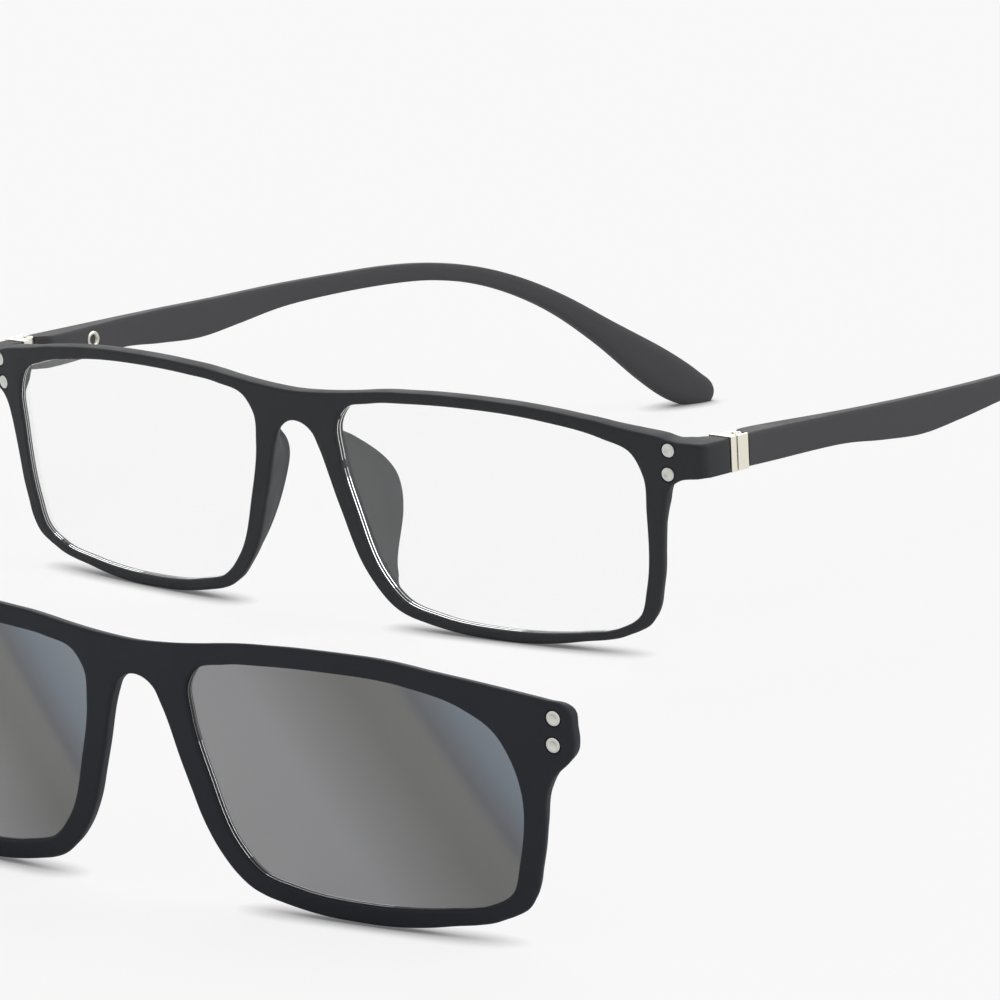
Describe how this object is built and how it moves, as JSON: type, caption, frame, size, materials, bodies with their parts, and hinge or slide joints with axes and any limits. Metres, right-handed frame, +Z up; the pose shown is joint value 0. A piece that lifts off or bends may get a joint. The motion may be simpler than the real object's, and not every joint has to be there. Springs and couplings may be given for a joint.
{
  "type": "clip-on eyeglasses",
  "caption": "Full-rim rectangular eyeglasses with folding temples and a separate magnetic tinted clip-on front that docks on the frame's face.",
  "frame": {"origin": "on the table under the middle of the bridge, level with the foremost line of the front", "axes": "+X to the right seen from the front, +Y back along the temples, +Z up"},
  "size_m": [0.2381, 0.2817, 0.0359],
  "materials": {
    "frame_plastic": "matte",
    "temple_plastic": "matte",
    "clip_plastic": "matte",
    "clear_lens": "polished",
    "tinted_lens": "polished",
    "magnet_plating": "satin",
    "hinge_metal": "satin",
    "screw_steel": "satin"
  },
  "bodies": {
    "front": {"front_frame": "frame_plastic", "lens_left": "clear_lens", "lens_right": "clear_lens", "front_magnet_left_upper": "magnet_plating", "front_magnet_left_lower": "magnet_plating", "front_magnet_right_upper": "magnet_plating", "front_magnet_right_lower": "magnet_plating", "hinge_front_leaf_left": "hinge_metal", "hinge_front_leaf_right": "hinge_metal", "hinge_screw_left": "screw_steel", "hinge_screw_right": "screw_steel"},
    "temple_arm_left": {"temple_left": "temple_plastic", "hinge_temple_leaf_left": "hinge_metal", "temple_rivet_left": "screw_steel"},
    "temple_arm_right": {"temple_right": "temple_plastic", "hinge_temple_leaf_right": "hinge_metal", "temple_rivet_right": "screw_steel"},
    "clip_on": {"clip_frame": "clip_plastic", "clip_lens_left": "tinted_lens", "clip_lens_right": "tinted_lens", "clip_magnet_left_upper": "magnet_plating", "clip_magnet_left_lower": "magnet_plating", "clip_magnet_right_upper": "magnet_plating", "clip_magnet_right_lower": "magnet_plating"}
  },
  "joints": [
    {"name": "left_temple_fold", "type": "hinge", "parent": "front", "child": "temple_arm_left", "pos_m": [-0.0701, 0.0133, 0.02928], "axis": [0, 0, -1], "range_deg": [0, 84]},
    {"name": "right_temple_fold", "type": "hinge", "parent": "front", "child": "temple_arm_right", "pos_m": [0.0701, 0.0133, 0.02928], "axis": [0, 0, 1], "range_deg": [0, 74]},
    {"name": "clip_on_dock", "type": "slide", "parent": "front", "child": "clip_on", "axis": [-0.6, 0.8, 0], "range_m": [0, 0.16]}
  ]
}
